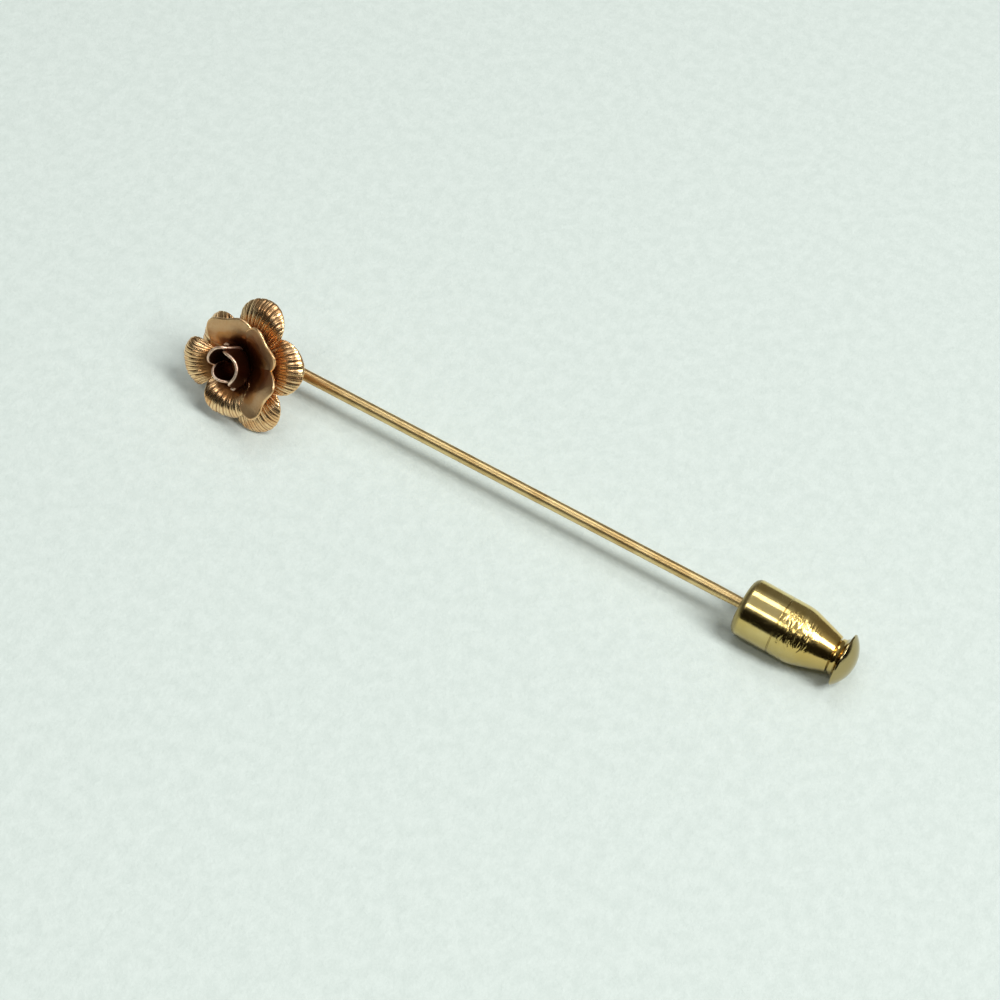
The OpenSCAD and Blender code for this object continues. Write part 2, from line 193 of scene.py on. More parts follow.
# %% Place and axes of the rose
ROSE_RISE, ROSE_BEARING = math.radians(27.3), math.radians(-101.4)
ROSE_STAND = 3.484
OUT = np.array([
    math.cos(ROSE_RISE) * math.cos(ROSE_BEARING),
    math.cos(ROSE_RISE) * math.sin(ROSE_BEARING),
    math.sin(ROSE_RISE),
])
UP = np.array([
    -math.sin(ROSE_RISE) * math.cos(ROSE_BEARING),
    -math.sin(ROSE_RISE) * math.sin(ROSE_BEARING),
    math.cos(ROSE_RISE),
])
OVER = np.cross(OUT, UP)
rose_middle = wire_start + ROSE_STAND * OUT
print("rose sits at", rose_middle.round(3), "and looks along", OUT.round(3))

# %% [markdown]
# ## The petals' bent sheet
# A petal is stamped out of thin sheet, and pliers curl it. It could be a flat mesh bent by
# modifiers, but two bends, a cup and a rolled rim are hard to stack that way, and the solids
# have to be met closely. So one formula gives the sheet's middle: a flat leaf is wound on
# two arcs along its length, cupped across, and rolled back at its rim.

# %% Bend the sheet
RIB_ORIGIN = 0.9
CORNER_SHARE = 0.55
ROLL_FROM = 0.45
CUP_IN, ROLL_IN, SWIRL_IN, WAVE_IN = (0, 0.2), (0.2, 0.6), (0, 0.5), (0.3, 0.9)


def arc_end(length, a, b):
    """How far an arc goes outwards and along the axis while its direction turns from a to b.

    Its chord is the length times the sine of half the turn over half the turn, and points
    half-way between the two directions.
    """
    chord = length * np.sinc((b - a) / (2 * np.pi))
    return chord * np.sin((a + b) / 2), chord * np.cos((a + b) / 2)


def sheet_middle(k, along, side):
    """Point of the sheet's middle at a distance along a leaf and a distance to its side.

    The distance along is wound on one arc from the root's angle to the knee's, and on a
    second to the tip's. The point is lifted off them by the cup, which is an arc across, less
    a roll that grows with the square of how far out it is, less a swirl to one side, plus a
    wave across.
    """
    knee = k["knee_share"] * k["length"]
    spread = np.hypot(along + RIB_ORIGIN, side) - RIB_ORIGIN
    held = np.maximum(along, CORNER_SHARE * spread)
    low = np.clip(held, 0, knee)
    high = np.maximum(held - knee, 0)
    low_angle = k["root"] + (k["knee"] - k["root"]) * low / knee
    high_angle = k["knee"] + (k["tip"] - k["knee"]) * high / (k["length"] - knee)
    low_end = arc_end(low, k["root"], low_angle)
    high_end = arc_end(high, k["knee"], high_angle)
    angle = np.where(held > knee, high_angle, low_angle)
    share = np.clip(along / k["length"], 0, 1)
    cup = k["root_cup"] + (k["tip_cup"] - k["root_cup"]) * share
    cup = cup * smooth(spread / k["length"], *CUP_IN)
    raised, sideways = arc_end(side, 0 * side, cup * side / k["half"])
    outness = np.hypot(along - (k["length"] - k["half"]), side) / k["half"]
    past = np.maximum((outness - ROLL_FROM) / (1 - ROLL_FROM), 0)
    roll = k["roll"] * k["half"] * past**2 * smooth(share, *ROLL_IN)
    wave = k["wave"] * k["half"] * np.sin(np.pi * side / k["half"]) * smooth(share, *WAVE_IN)
    lift = raised - roll - k["swirl"] * sideways * smooth(share, *SWIRL_IN) + wave
    x = k["foot"] + along - held + low_end[0] + high_end[0] - np.cos(angle) * lift
    z = k["level"] + low_end[1] + high_end[1] + np.sin(angle) * lift
    return np.stack([x, sideways, z], -1)


def sheet_normal(k, along, side, step=0.01):
    """Direction square to the sheet: the cross product of its slopes along and to the side."""
    d_along = sheet_middle(k, along + step, side) - sheet_middle(k, along - step, side)
    d_side = sheet_middle(k, along, side + step) - sheet_middle(k, along, side - step)
    n = np.cross(d_along, d_side)
    return n / np.linalg.norm(n, axis=-1, keepdims=True)


print("ribs spread from", RIB_ORIGIN, "mm behind the foot of a leaf")

# %% [markdown]
# ## The petals' outline
# The stamp cuts a round tip on a narrowing foot. The outline could be drawn as a curve and
# filled, but its faces would run across the ribs. Here the grid is a fan: its rays start
# behind the foot and end on a circle, with fuller shoulders where a leaf has them, so the
# faces run with the ribs and spread as the real ones do. Polishing has taken a hair off the
# rim, and the fan ends that much sooner.

# %% Lay out a leaf's fan
SHEET = 0.25
RIM_POLISH = 0.035
RIBS = 14
WIDEST_RAY = 0.98
RAY_CROWDING = 0.35
RIBBED_COLUMNS, PLAIN_COLUMNS, LEAF_ROWS, RIM_ROWS = 2 * RIBS * 5, 84, 46, 12
EDGE_COLUMNS = np.array([0.0015, 0.004, 0.008])


def fan_grid(k):
    """Shares of the reach, and places from ray to ray, closer together near the edges.

    The last rows come at the sine of even steps, which suits a rim of a quarter circle.
    """
    v = np.linspace(-1, 1, steps(RIBBED_COLUMNS if k["ribs"] > 0 else PLAIN_COLUMNS) + 1)
    v = np.unique(np.concatenate([v, 1 - EDGE_COLUMNS, EDGE_COLUMNS - 1]))
    rim = np.linspace(0, np.pi / 2, steps(RIM_ROWS) // 2 + 2)
    rim_share = SHEET / 2 / (k["length"] + RIB_ORIGIN)
    g = np.concatenate([np.linspace(0, 1 - rim_share, steps(LEAF_ROWS))[:-1],
                        1 - rim_share * (1 - np.sin(rim))])
    return np.meshgrid(g, v, indexing="ij")


def fan_places(k, g, v):
    """Distances along, to the side, from the rim and from the foot, on the flat sheet.

    A ray ends where it leaves the tip's circle: the cosine of its angle times the distance
    of the circle's middle, plus half the chord that the ray cuts in it.
    """
    centre = RIB_ORIGIN + k["length"] - k["half"]
    widest = np.arcsin(min(k["half"] / centre, WIDEST_RAY))
    ray = widest * (RAY_CROWDING * np.sin(np.pi / 2 * v) + (1 - RAY_CROWDING) * v)
    span = np.sqrt(np.maximum(k["half"]**2 - (centre * np.sin(ray))**2, 0))
    leaving = np.arcsin(np.clip(centre * np.sin(ray) / k["half"], -1, 1))
    shoulder = np.where(np.abs(ray + leaving) < np.pi / 2, np.sin(2 * (ray + leaving))**2, 0)
    outline = (centre * np.cos(ray) + span) * (1 + k["full"] * shoulder) - RIM_POLISH
    reach = RIB_ORIGIN + (outline - RIB_ORIGIN) * g
    along, side = reach * np.cos(ray) - RIB_ORIGIN, reach * np.sin(ray)
    straight = reach * np.sin(widest - np.abs(ray))
    rim_distance = np.minimum(straight, (outline - reach) * np.cos(leaving))
    return along, side, rim_distance, reach - RIB_ORIGIN


print("a ribbed leaf has", steps(RIBBED_COLUMNS), "columns and a plain one", steps(PLAIN_COLUMNS))

# %% [markdown]
# ## The ribs and dents
# A die presses ribs into a petal's tip, and handling leaves shallow dents in plain faces. A bump
# map could draw both, but ribs show on the petals' outline. So they are in the shape. Both faces
# follow them, because the sheet is pressed and not cut.

# %% Press the ribs
RIB_H = 0.06
RIB_CREST = 0.6
RIBS_IN, DENTS_IN, DENT_RIM = (0.42, 0.62), (0.3, 0.6), (0, 0.6)
DENT_SHARE = 0.25


def pressed(k, g, phase, along, side, rim_distance, tone, dent):
    """How far the sheet is pushed up: ribs and dents.

    Ribs are a sine's size across the rays, raised to a power below one so that the crests
    are broad and the grooves narrow. Dents are four slow sines added up.
    """
    crest = np.abs(np.sin(np.pi / 2 * phase)) ** RIB_CREST
    uneven = 0.82 + 0.18 * np.sin(2.4 * phase + 5 * tone)
    rise = k["ribs"] * RIB_H * crest * uneven * smooth(g, *RIBS_IN)
    dents = (np.sin(2.1 * along + 1.3 * side + 7 * tone)
             + np.sin(-1.7 * along + 2.9 * side + 3 * tone) + np.sin(4.3 * along + 0.7 * side)
             + 0.7 * np.sin(3.1 * side - 5.3 * along + 11 * tone))
    inside = smooth(g, *DENTS_IN) * smooth(rim_distance, *DENT_RIM)
    return rise + dent * DENT_SHARE * dents * inside


print(RIBS, "ribs on a petal, up to", RIB_H, "mm high")

# %% [markdown]
# ## Both faces of a leaf
# Real sheet is about 0.3 mm thick with a rounded rim. It is drawn at 0.25 mm, as polish has
# worn it. Solidify could thicken one face, but it gives a square rim and would tear where
# the leaf meets a point. So both faces are worked out, each half the thickness off the
# middle, and that half shrinks along a quarter circle as the rim comes near.

# %% Make a leaf
def on_rose(x, y, z):
    """Rose places x upwards, y across and z outwards, as points of the scene in mm."""
    return rose_middle + x[..., None] * UP + y[..., None] * OVER + z[..., None] * OUT


def leaf_grids(k, tone, dent):
    """A leaf's two faces as one closed surface: the middle plus and minus the half thickness.

    Rows run out along the rays and columns go from ray to ray.
    """
    g, v = fan_grid(k)
    along, side, rim_distance, foot_distance = fan_places(k, g, v)
    thin = 1 - np.clip(np.minimum(rim_distance, foot_distance) / (SHEET / 2), 0, 1)
    half = SHEET / 2 * np.sqrt(1 - thin**2)
    phase = (v + 1) * RIBS
    rise = pressed(k, g, phase, along, side, rim_distance, tone, dent)
    middle, normal = sheet_middle(k, along, side), sheet_normal(k, along, side)
    c, s = np.cos(k["bearing"]), np.sin(k["bearing"])
    leaf = np.stack([g, phase, rim_distance], -1).reshape(-1, 3)
    kind = np.tile([k["ribs"], tone, 0.0], (g.size, 1))
    sheets = []
    for face in (1, -1):
        p = middle + normal * (face * half + rise)[..., None]
        x, y = c * p[..., 0] - s * p[..., 1], s * p[..., 0] + c * p[..., 1]
        points = on_rose(x, y, p[..., 2])
        quads = grid_quads(*g.shape)[:, ::face]
        sheets.append((points.reshape(-1, 3), quads, {"leaf": leaf, "kind": kind}))
    return joined(sheets)


print("sheet drawn at", SHEET, "mm")

# %% [markdown]
# ## Outlines with rounded corners
# No edge of real stamped or turned metal is knife sharp. A Bevel modifier could round the
# edges, but it rounds all of them alike. `rounded_loop` puts an arc of its own on every
# corner of an outline, and then spaces points evenly along the straight runs, so that a
# polished surface shades cleanly.

# %% Round an outline
SHORTEST_RUN = 0.45


def rounded_loop(corners, closed=True, spacing=0.22, arc_steps=4):
    """An outline of (radius, distance) from corners of (radius, distance, softness).

    Each soft corner is a curve of the second degree whose middle point is the corner.
    """
    p, soft = np.array(corners, float)[:, :2], np.array(corners, float)[:, 2]
    before, after = np.roll(p, 1, 0), np.roll(p, -1, 0)
    made = []
    for i in range(len(p)):
        if soft[i] <= 0 or (not closed and i in (0, len(p) - 1)):
            made.append(p[i][None])
            continue
        a, b = before[i] - p[i], after[i] - p[i]
        la, lb = np.linalg.norm(a), np.linalg.norm(b)
        a, b = a / la, b / lb
        half_turn = math.acos(float(np.clip(a @ b, -1, 1))) / 2
        back = min(soft[i] / math.tan(half_turn), SHORTEST_RUN * la, SHORTEST_RUN * lb)
        t = np.linspace(0, 1, arc_steps + 1)[:, None]
        start, end = p[i] + a * back, p[i] + b * back
        made.append((1 - t)**2 * start + 2 * t * (1 - t) * p[i] + t**2 * end)
    outline = np.concatenate(made)
    if closed:
        outline = np.concatenate([outline, outline[:1]])
    runs = [np.linspace(a, b, max(1, int(np.linalg.norm(b - a) / spacing)), endpoint=False)
            for a, b in zip(outline[:-1], outline[1:])]
    return np.concatenate(runs if closed else runs + [outline[-1:]])


def curve(radius, distance, first=0.0, last=0.0):
    """A drawn arc as corners, left as they are apart from a softness at either end."""
    soft = np.zeros(len(radius))
    soft[0], soft[-1] = first, last
    return [*zip(radius, distance, soft)]


softened = rounded_loop([(1, 0, 0.1), (2, 0, 0.1), (2, 1, 0.1), (1, 1, 0.1)])
print("a softened square has", len(softened), "points")

# %% [markdown]
# ## The round middle of a row
# The petals of one row hang together at a small disc with a hole for the wire. A cylinder
# with a hole cut by a boolean would do, but a swept outline is already closed and has
# rounded edges.

# %% Make a middle
MIDDLE_SOFT, MIDDLE_TURN = 0.04, 96


def middle_disc(level, radius, hole, tone):
    """The round middle of a row as a closed ring: its outline turned round the rose's axis."""
    half = SHEET / 2
    profile = rounded_loop([(hole, -half, MIDDLE_SOFT), (radius, -half, MIDDLE_SOFT),
                            (radius, half, MIDDLE_SOFT), (hole, half, MIDDLE_SOFT)])
    turn = np.linspace(0, 2 * np.pi, steps(MIDDLE_TURN), endpoint=False)
    r, h = profile[:, 0][:, None], profile[:, 1][:, None] + level + 0 * turn
    points = on_rose(r * np.cos(turn), r * np.sin(turn), h)
    n = points.shape[0] * points.shape[1]
    marks = {"leaf": np.tile([0.0, 0.0, 1.0], (n, 1)), "kind": np.tile([0.0, tone, 0.0], (n, 1))}
    return points.reshape(-1, 3), grid_quads(*points.shape[:2], True, True), marks


print("a middle is turned in", steps(MIDDLE_TURN), "steps")

# %% [markdown]
# ## The three rows of the rose
# Each row is one stamped sheet: a round middle with its petals round it. Five copies of one
# petal would look like a machine's work, because a hand curls each a little differently. So
# tables hold what sets one petal apart from the next, and the formula does the rest. Two
# inner petals are rolled outwards and show their ribs. Three stand up round the bud and show
# plain faces. The bud is three small leaves curled round a hollow.

# %% Tables of the rows and their leaves
ROW_PITCH = 0.4
ROWS = {
    "outer": dict(length=5.4, half=2.35, foot=0.85, level=0, root=84, knee=80, tip=136,
                  knee_share=0.5, root_cup=0, tip_cup=-13, roll=0.13, swirl=0.04),
    "inner": dict(length=4.85, half=2.35, foot=1.1, level=ROW_PITCH, root=46, knee=56, tip=115,
                  knee_share=0.5, root_cup=40, tip_cup=16, roll=0.15, swirl=0.12),
    "bud": dict(length=3.5, half=1.75, foot=0.85, level=2 * ROW_PITCH, root=50, knee=8, tip=4,
                knee_share=0.42, root_cup=30, tip_cup=60, roll=0, swirl=-0.15),
}
COLUMNS = ("bearing", "share", "wide", "lean", "curl", "cup", "roll", "twist", "wave", "ribs",
           "full", "tone")
LEAVES = {
    "outer": [
        (0, 1.02, 1, 0, 0, 1, 1, 1, 0, 1, 0, 0.1),
        (-62, 0.99, 1, 0, 0, 1, 1, 1, 0, 1, 0, 0.35),
        (-131, 1.007, 1, -4, 0, 1, 1, 1, 0, 1, 0, 0.6),
        (126, 0.845, 1, 32, 0, 1, 1, 1, 0, 1, 0, 0.5),
        (83, 0.9, 1.06, 0, 0, 1, 1, 1, 0, 1, 0, 0.9)],
    "inner": [
        (31, 0.74, 1.12, 0, -45, 0.1, 0.3, 0, 0, 0, 0.12, 0.8),
        (-34, 0.86, 0.85, 8, -58, 0.1, 0, -1, 0, 0, 0.12, 0.4),
        (-98, 0.85, 1, 4, -46, 0.1, 0, 1, 0.05, 0, 0.14, 0.3),
        (-166, 0.84, 0.95, 0, 12, 1, 1, 1, 0, 1, 0, 0.2),
        (116, 1.1, 0.87, 2, 38, 0.2, 2.8, 1, 0, 1, 0, 0.15)],
    "bud": [
        (152, 0.64, 0.7, 0, 0, 1, 0, 1, 0, 0, 0, 0.2),
        (-53, 0.76, 1.33, 2, 0, 1.7, 0, 0, 0, 0, 0.18, 0.5),
        (54, 0.82, 0.9, 3, 0, 1, 0, 1, 0, 0, 0.06, 0.7)],
}
print("leaves in each row:", {name: len(leaves) for name, leaves in LEAVES.items()})

# %% Build the rows
HOLE_R, MIDDLE_TONE = 0.56, 0.5
MIDDLE_R = {"outer": 1.3, "inner": 1.3, "bud": 1.0}
DENT = {"outer": 0.008, "inner": 0.03, "bud": 0.01}


def leaf_values(row, leaf):
    """A leaf's own lengths, shares and angles, which are its row's with the leaf's changes."""
    turn = np.radians
    return dict(
        length=row["length"] * leaf["share"], half=row["half"] * leaf["wide"],
        foot=row["foot"], level=row["level"],
        root=turn(row["root"] + leaf["lean"]), knee=turn(row["knee"] + leaf["lean"]),
        tip=turn(row["tip"] + leaf["lean"] + leaf["curl"]), knee_share=row["knee_share"],
        root_cup=turn(row["root_cup"] * leaf["cup"]), tip_cup=turn(row["tip_cup"] * leaf["cup"]),
        roll=row["roll"] * leaf["roll"], swirl=row["swirl"] * leaf["twist"],
        wave=leaf["wave"], ribs=leaf["ribs"], full=leaf["full"], bearing=turn(leaf["bearing"]))


def make_row(row_name, piece_name, stands_for):
    """All the leaves of a row and their middle, as one piece."""
    row = ROWS[row_name]
    parts = [middle_disc(row["level"], MIDDLE_R[row_name], HOLE_R, MIDDLE_TONE)]
    for line in LEAVES[row_name]:
        leaf = dict(zip(COLUMNS, line))
        parts.append(leaf_grids(leaf_values(row, leaf), leaf["tone"], DENT[row_name]))
    return make_piece(piece_name, "pin", stands_for, parts)


outer = make_row("outer", "outer_row_of_petals", "outer_petals")
inner = make_row("inner", "inner_row_of_petals", "inner_petals")
bud = make_row("bud", "bud_leaves", "bud")

# %% [markdown]
# ## The path of the wire
# One wire makes the whole pin. It comes down from the middle of the bud through the rows,
# bends level and runs into the clutch. A curve object with a bevel could follow that path,
# but its radius and its ends are harder to hold. So the path is a formula: a straight stem,
# an arc and a straight run, each taken up where the last one ends.

# %% Bend the path
SOLID_SHEET, STACK_GAP = 0.3, 0.1
RIVET_H = 0.35
BEND_R = 1.5
X_AXIS = np.array([1.0, 0, 0])
bend_turn = math.acos(-OUT[0])
setback = BEND_R * math.tan(bend_turn / 2)
across = X_AXIS - (X_AXIS @ OUT) * OUT
across /= np.linalg.norm(across)
bend_axis = np.cross(-OUT, across)
stem_top = ROSE_STAND + 2 * ROW_PITCH + SOLID_SHEET / 2 + STACK_GAP + RIVET_H
arc_start = stem_top - setback
arc_length = BEND_R * bend_turn


def wire_path(s):
    """Middle of the wire and the direction out of its bend, at a length s from the head.

    On the arc the middle is the arc's centre plus its radius times the outward direction.
    Before it the rest is added along the stem, and after it along X.
    """
    s = np.asarray(s, float)[:, None]
    angle = np.clip((s - arc_start) / BEND_R, 0, bend_turn)
    centre = wire_start + setback * OUT + BEND_R * across
    outward = -across * np.cos(angle) + -OUT * np.sin(angle)
    middle = centre + BEND_R * outward
    middle = middle + OUT * np.maximum(arc_start - s, 0)
    middle = middle + X_AXIS * np.maximum(s - arc_start - arc_length, 0)
    return middle, outward


print("the wire bends by", round(math.degrees(bend_turn), 1), "degrees")

# %% [markdown]
# ## The pin wire
# The wire ends in a riveted head in the bud, passes the soldered boss behind the petals,
# thins a little before the clutch and has a blunt point inside it. Head, boss and point
# could be cones and domes set on a tube. One outline swept along the path gives them all in
# a single closed skin, with a radius for every place on it.

# %% Sweep the wire
RIVET_R = 0.7
BOSS_R, BOSS_T = 0.75, 0.5
THIN_LENGTH, THIN_R, TIP_R = 2.6, 0.45, 0.1
WIRE_SPACING, WIRE_TURN, HEAD_STEPS = 0.16, 64, 9
level_from = arc_start + arc_length - setback
boss_at = stem_top - (ROSE_STAND - SOLID_SHEET / 2 - STACK_GAP)
boss_end = boss_at + BOSS_T
thin_at = level_from + PIN_REACH
tip_at = thin_at + POINT_LENGTH
head_round = (RIVET_R**2 + RIVET_H**2) / (2 * RIVET_H)
head_turn = np.linspace(0, math.asin(RIVET_R / head_round), HEAD_STEPS)
head = curve(head_round * np.sin(head_turn), head_round * (1 - np.cos(head_turn)), last=0.03)
wire_outline = rounded_loop([
    *head, (WIRE_R, RIVET_H, 0), (WIRE_R, boss_at, 0.06), (BOSS_R, boss_at, 0.06),
    (BOSS_R, boss_end, 0.12), (WIRE_R, boss_end, 0.1), (WIRE_R, thin_at - THIN_LENGTH, 0.5),
    (THIN_R, thin_at, 0.5), (TIP_R, tip_at, 0.06), (0, tip_at, 0)],
    closed=False, spacing=WIRE_SPACING)
middle, outward = wire_path(wire_outline[:, 1])
turn = np.linspace(0, 2 * np.pi, steps(WIRE_TURN), endpoint=False)
ring = outward[:, None] * np.cos(turn)[None, :, None] + bend_axis * np.sin(turn)[None, :, None]
wire_points = middle[:, None] + wire_outline[:, 0][:, None, None] * ring
lengths = np.broadcast_to(wire_outline[:, 1][:, None], wire_points.shape[:2])
wire_marks = np.stack([lengths, 0 * lengths, 0 * lengths], -1)
wire = make_piece("pin_wire_drawn", "pin", "pin_wire", [(
    wire_points.reshape(-1, 3), grid_quads(*wire_points.shape[:2], wrap_columns=True),
    {"wire": wire_marks.reshape(-1, 3)})])

# %% [markdown]
# ## Sizes of the clutch
# The clutch is turned on a lathe: a hollow barrel with a rounded mouth, a fine ring groove
# and a tapering nose, and a plunger with a flared, domed end that runs in the nose. Pulling
# it lets go of the wire. The sizes could be read off the solids' meshes, but a turned part
# is told by few numbers, so they are named. The clutch hangs nose down by a small angle.

# %% Clutch sizes and axes
DROOP = math.radians(2.5)
CLUTCH_AXIS = np.array([math.cos(DROOP), 0, -math.sin(DROOP)])
CLUTCH_UP = np.array([math.sin(DROOP), 0, math.cos(DROOP)])
clutch_mouth = wire_start + PIN_REACH * X_AXIS
BARREL_R, BARREL_LENGTH, BARREL_WALL = 2.5, 8.25, 0.42
MOUTH_ROUND, MOUTH_T, MOUTH_HOLE_R = 0.72, 0.6, 0.7
GROOVE_AT, GROOVE_WIDTH, GROOVE_DEPTH = 3.45, 0.15, 0.05
NOSE_AT, NOSE_ROUND, NOSE_R = 4.6, 4.5, 1.6
STEM_R, COLLAR_R = 1.3, 1.6
NECK_R = STEM_R + 0.05
nose_length, nose_drop = BARREL_LENGTH - NOSE_AT, BARREL_R - NOSE_R
nose_angle = (math.asin(NOSE_ROUND / math.hypot(nose_length, NOSE_ROUND - nose_drop))
              - math.atan2(NOSE_ROUND - nose_drop, nose_length))
stop_r = COLLAR_R + 0.1
inner_end_r = NOSE_R - BARREL_WALL * math.cos(nose_angle)
stop_at = (BARREL_LENGTH - BARREL_WALL * math.sin(nose_angle)
           - (stop_r - inner_end_r) / math.tan(nose_angle))
print("the nose narrows by", round(math.degrees(nose_angle), 1), "degrees")

# %% [markdown]
# ## The barrel
# On the real clutch the barrel is a cup closed by its mouth plate. Spin or Screw could turn
# its outline in Blender. A grid does the same with arrays, and its points also keep their
# place along and round the barrel for the metal's pattern. The outline goes on round the
# inside, so the barrel is hollow when it is looked into. Polish has taken a hair off it.

# %% Turn the barrel
POLISHED_OFF = 0.006
CLUTCH_TURN, MOUTH_STEPS, NOSE_STEPS, INNER_NOSE_STEPS = 160, 11, 13, 7


def nose_arc(inset, count):
    """The arc with which the barrel starts to narrow, on its outside or inset by its wall.

    Its radius is the nose's round less the inset, about a centre on the level of its start.
    """
    a = np.linspace(0, nose_angle, count)
    return curve(BARREL_R - NOSE_ROUND + (NOSE_ROUND - inset) * np.cos(a),
                 NOSE_AT + (NOSE_ROUND - inset) * np.sin(a))


def clutch_piece(name, body, stands_for, outline, closed):
    """Sweeps an outline of (radius, distance from the mouth) round the clutch's axis."""
    turn = np.linspace(0, 2 * np.pi, steps(CLUTCH_TURN), endpoint=False)
    r, d = np.minimum(outline[:, 0], BARREL_R - POLISHED_OFF)[:, None], outline[:, 1][:, None]
    up, over = r * np.cos(turn), r * np.sin(turn)
    points = (clutch_mouth + d[..., None] * CLUTCH_AXIS + up[..., None] * CLUTCH_UP
              + over[..., None] * np.array([0, 1.0, 0]))
    local = np.stack([d + 0 * turn, up, over], -1)
    return make_piece(name, body, stands_for, [(
        points.reshape(-1, 3), grid_quads(*points.shape[:2], closed, True),
        {"turned": local.reshape(-1, 3)})])


mouth_turn = np.linspace(0, np.pi / 2, MOUTH_STEPS)
mouth_arc = curve(BARREL_R - MOUTH_ROUND * (1 - np.sin(mouth_turn)),
                  MOUTH_ROUND * (1 - np.cos(mouth_turn)))
groove = [(BARREL_R, GROOVE_AT - GROOVE_WIDTH / 2, 0.03),
          (BARREL_R - GROOVE_DEPTH, GROOVE_AT - GROOVE_WIDTH / 4, 0.015),
          (BARREL_R - GROOVE_DEPTH, GROOVE_AT + GROOVE_WIDTH / 4, 0.015),
          (BARREL_R, GROOVE_AT + GROOVE_WIDTH / 2, 0.03)]
neck = [(NOSE_R, BARREL_LENGTH, 0.1), (NECK_R, BARREL_LENGTH, 0.03), (NECK_R, stop_at, 0),
        (stop_r, stop_at, 0)]
hollow = [(BARREL_R - BARREL_WALL, MOUTH_T, 0.05), (MOUTH_HOLE_R, MOUTH_T, 0.05)]
barrel_outline = rounded_loop([
    (MOUTH_HOLE_R, 0, 0.08), *mouth_arc, *groove, *nose_arc(0, NOSE_STEPS), *neck,
    *nose_arc(BARREL_WALL, INNER_NOSE_STEPS)[::-1], *hollow])
barrel = clutch_piece("barrel_turned", "clutch", "clutch_barrel", barrel_outline, True)

# %% [markdown]
# ## The plunger
# The plunger has a collar that stops it inside the barrel, a stem through the neck, a flared
# flange for the finger nails and a low dome. It could be built up from cylinders and a cut
# sphere. The same sweep as the barrel's makes it in one skin, from an outline that starts
# and ends on the axis.

# %% Turn the plunger
COLLAR_T, STOP_GAP = 0.5, 0.1
PLUNGER_BORE_R, PLUNGER_BORE, TRAVEL = 0.8, 2.4, 1.0
FLANGE_AT, FLANGE_FOOT_R, FLARE_H = 8.35, 1.5, 0.65
FLANGE_R, RIM_T, DOME_H = 2.25, 0.15, 1.0
FLARE_STEPS, DOME_STEPS = 11, 17
collar_end = stop_at - TRAVEL - STOP_GAP
collar_start = collar_end - COLLAR_T
bore_end = collar_start + PLUNGER_BORE
flare_turn = np.linspace(0, np.pi / 2, FLARE_STEPS)
flare = curve(FLANGE_R - (FLANGE_R - FLANGE_FOOT_R) * np.cos(flare_turn),
              FLANGE_AT + FLARE_H * np.sin(flare_turn), 0.06, 0.05)
dome_round = (FLANGE_R**2 + DOME_H**2) / (2 * DOME_H)
dome_turn = np.linspace(math.asin(FLANGE_R / dome_round), 0, DOME_STEPS)
clutch_end = FLANGE_AT + FLARE_H + RIM_T + DOME_H - POLISHED_OFF
dome = curve(dome_round * np.sin(dome_turn),
             clutch_end - dome_round * (1 - np.cos(dome_turn)), first=0.06)
plunger_outline = rounded_loop([
    (0, bore_end, 0), (PLUNGER_BORE_R, bore_end, 0.02), (PLUNGER_BORE_R, collar_start, 0.03),
    (COLLAR_R, collar_start, 0.03), (COLLAR_R, collar_end, 0.03), (STEM_R, collar_end, 0.02),
    (STEM_R, FLANGE_AT, 0.05), *flare, *dome], closed=False)
plunger = clutch_piece("plunger_turned", "plunger", "clutch_plunger", plunger_outline, False)

# %% [markdown]
# ## Materials from sums
# A real metal's look is in its colour, in how its gloss varies, and in fine relief. Each
# could be wired up by hand in the shader editor. Here each is a sum of a few simple
# patterns, so it is easier to read as a sum. `Pattern` wraps a shader socket so that such
# sums can be written as plain Python, and its `node` method makes any node.

